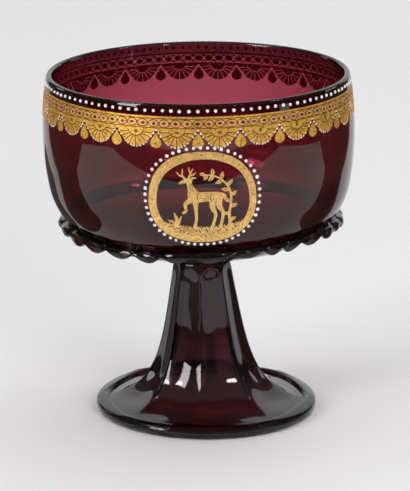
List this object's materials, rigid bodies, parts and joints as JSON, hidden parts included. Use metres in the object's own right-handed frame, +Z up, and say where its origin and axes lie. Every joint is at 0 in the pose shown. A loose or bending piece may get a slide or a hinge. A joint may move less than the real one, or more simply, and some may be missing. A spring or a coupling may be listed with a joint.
{
  "type": "footed glass cup",
  "caption": "Footed glass cup: a deep round bowl with a scalloped gilt band, a beaded gilt roundel and a crimped trail, on a ribbed, flared, hollow foot with a folded edge.",
  "frame": {"origin": "middle of the foot's resting ring projected onto the bowl's axis, on the surface that the cup stands on", "axes": "+Z up through the bowl, -Y towards the roundel, +X to the right of someone who faces the roundel"},
  "size_m": [0.1585, 0.1591, 0.1776],
  "materials": {
    "purple_glass": "clear blown glass of a deep red-purple, smooth and glossy",
    "dark_glass": "the same purple glass where it is thick, nearly black, smooth and glossy",
    "gilding": "fired gold leaf, soft sheen, slightly grainy, lines scratched through to the glass",
    "white_enamel": "opaque white glass enamel in raised round dots, glossy",
    "green_enamel": "opaque dark green glass enamel in small dots, glossy",
    "dark_enamel": "opaque enamel in small dots, by turns black and red-brown"
  },
  "bodies": {
    "root": {"bowl": "purple_glass", "crimped_trail": "dark_glass", "join": "dark_glass", "foot": "dark_glass", "gilt_band": "gilding", "roundel_ring": "gilding", "roundel_figure": "gilding", "roundel_bead_01": "white_enamel", "roundel_bead_02": "white_enamel", "roundel_bead_03": "white_enamel", "roundel_bead_04": "white_enamel", "roundel_bead_05": "white_enamel", "roundel_bead_06": "white_enamel", "roundel_bead_07": "white_enamel", "roundel_bead_08": "white_enamel", "roundel_bead_09": "white_enamel", "roundel_bead_10": "white_enamel", "roundel_bead_11": "white_enamel", "roundel_bead_12": "white_enamel", "roundel_bead_13": "white_enamel", "roundel_bead_14": "white_enamel", "roundel_bead_15": "white_enamel", "roundel_bead_16": "white_enamel", "roundel_bead_17": "white_enamel", "roundel_bead_18": "white_enamel", "roundel_bead_19": "white_enamel", "roundel_bead_20": "white_enamel", "roundel_bead_21": "white_enamel", "roundel_bead_22": "white_enamel", "roundel_bead_23": "white_enamel", "roundel_bead_24": "white_enamel", "roundel_bead_25": "white_enamel", "roundel_bead_26": "white_enamel", "roundel_bead_27": "white_enamel", "roundel_bead_28": "white_enamel", "roundel_bead_29": "white_enamel", "roundel_bead_30": "white_enamel", "roundel_bead_31": "white_enamel", "roundel_bead_32": "white_enamel", "roundel_bead_33": "white_enamel", "roundel_bead_34": "white_enamel", "roundel_bead_35": "white_enamel", "roundel_bead_36": "white_enamel", "roundel_bead_37": "white_enamel", "roundel_bead_38": "white_enamel", "roundel_bead_39": "white_enamel", "roundel_bead_40": "white_enamel", "roundel_bead_41": "white_enamel", "roundel_bead_42": "white_enamel", "roundel_bead_43": "white_enamel", "roundel_bead_44": "white_enamel", "roundel_bead_45": "white_enamel", "roundel_bead_46": "white_enamel", "roundel_bead_47": "white_enamel", "roundel_bead_48": "white_enamel", "roundel_bead_49": "white_enamel", "roundel_bead_50": "white_enamel", "roundel_bead_51": "white_enamel"}
  },
  "joints": []
}
